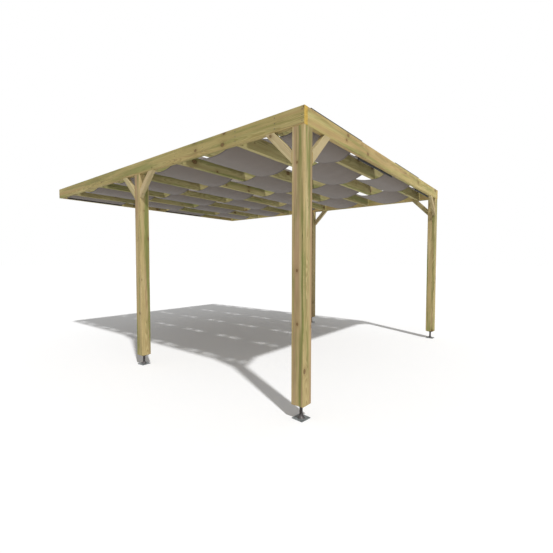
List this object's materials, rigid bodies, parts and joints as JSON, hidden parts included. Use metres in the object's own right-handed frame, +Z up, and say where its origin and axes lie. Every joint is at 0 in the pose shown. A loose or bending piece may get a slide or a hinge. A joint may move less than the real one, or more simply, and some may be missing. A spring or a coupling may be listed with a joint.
{
  "type": "lean-to pergola",
  "caption": "Flat lean-to pergola of square timber posts on steel feet, braced beams, joists and strips of shade cloth woven over and under the joists.",
  "frame": {"origin": "on the ground, under the middle of the roof's width and depth", "axes": "+Z up, +Y towards the wall, +X along the front beam"},
  "size_m": [4, 4.95, 2.5033],
  "materials": {
    "post_timber": "sawn, pressure treated",
    "beam_timber": "sawn, pressure treated",
    "brace_timber": "sawn, pressure treated",
    "joist_timber": "sawn, pressure treated",
    "foot_steel": "dark grey coating",
    "shade_cloth": "woven shade cloth, matt"
  },
  "bodies": {
    "root": {"front_left_post": "post_timber", "front_right_post": "post_timber", "rear_left_post": "post_timber", "rear_right_post": "post_timber", "front_left_foot": "foot_steel", "front_right_foot": "foot_steel", "rear_left_foot": "foot_steel", "rear_right_foot": "foot_steel", "left_beam": "beam_timber", "right_beam": "beam_timber", "front_beam": "beam_timber", "wall_beam": "beam_timber", "front_left_brace_back": "brace_timber", "front_right_brace_back": "brace_timber", "front_left_brace_in": "brace_timber", "front_right_brace_in": "brace_timber", "rear_left_brace_front": "brace_timber", "rear_right_brace_front": "brace_timber", "rear_left_brace_back": "brace_timber", "rear_right_brace_back": "brace_timber", "joist_1": "joist_timber", "joist_2": "joist_timber", "joist_3": "joist_timber", "joist_4": "joist_timber", "joist_5": "joist_timber", "joist_6": "joist_timber", "joist_7": "joist_timber", "joist_8": "joist_timber", "joist_9": "joist_timber", "joist_10": "joist_timber", "shade_strip_1": "shade_cloth", "shade_strip_2": "shade_cloth", "shade_strip_3": "shade_cloth", "shade_strip_4": "shade_cloth"}
  },
  "joints": []
}
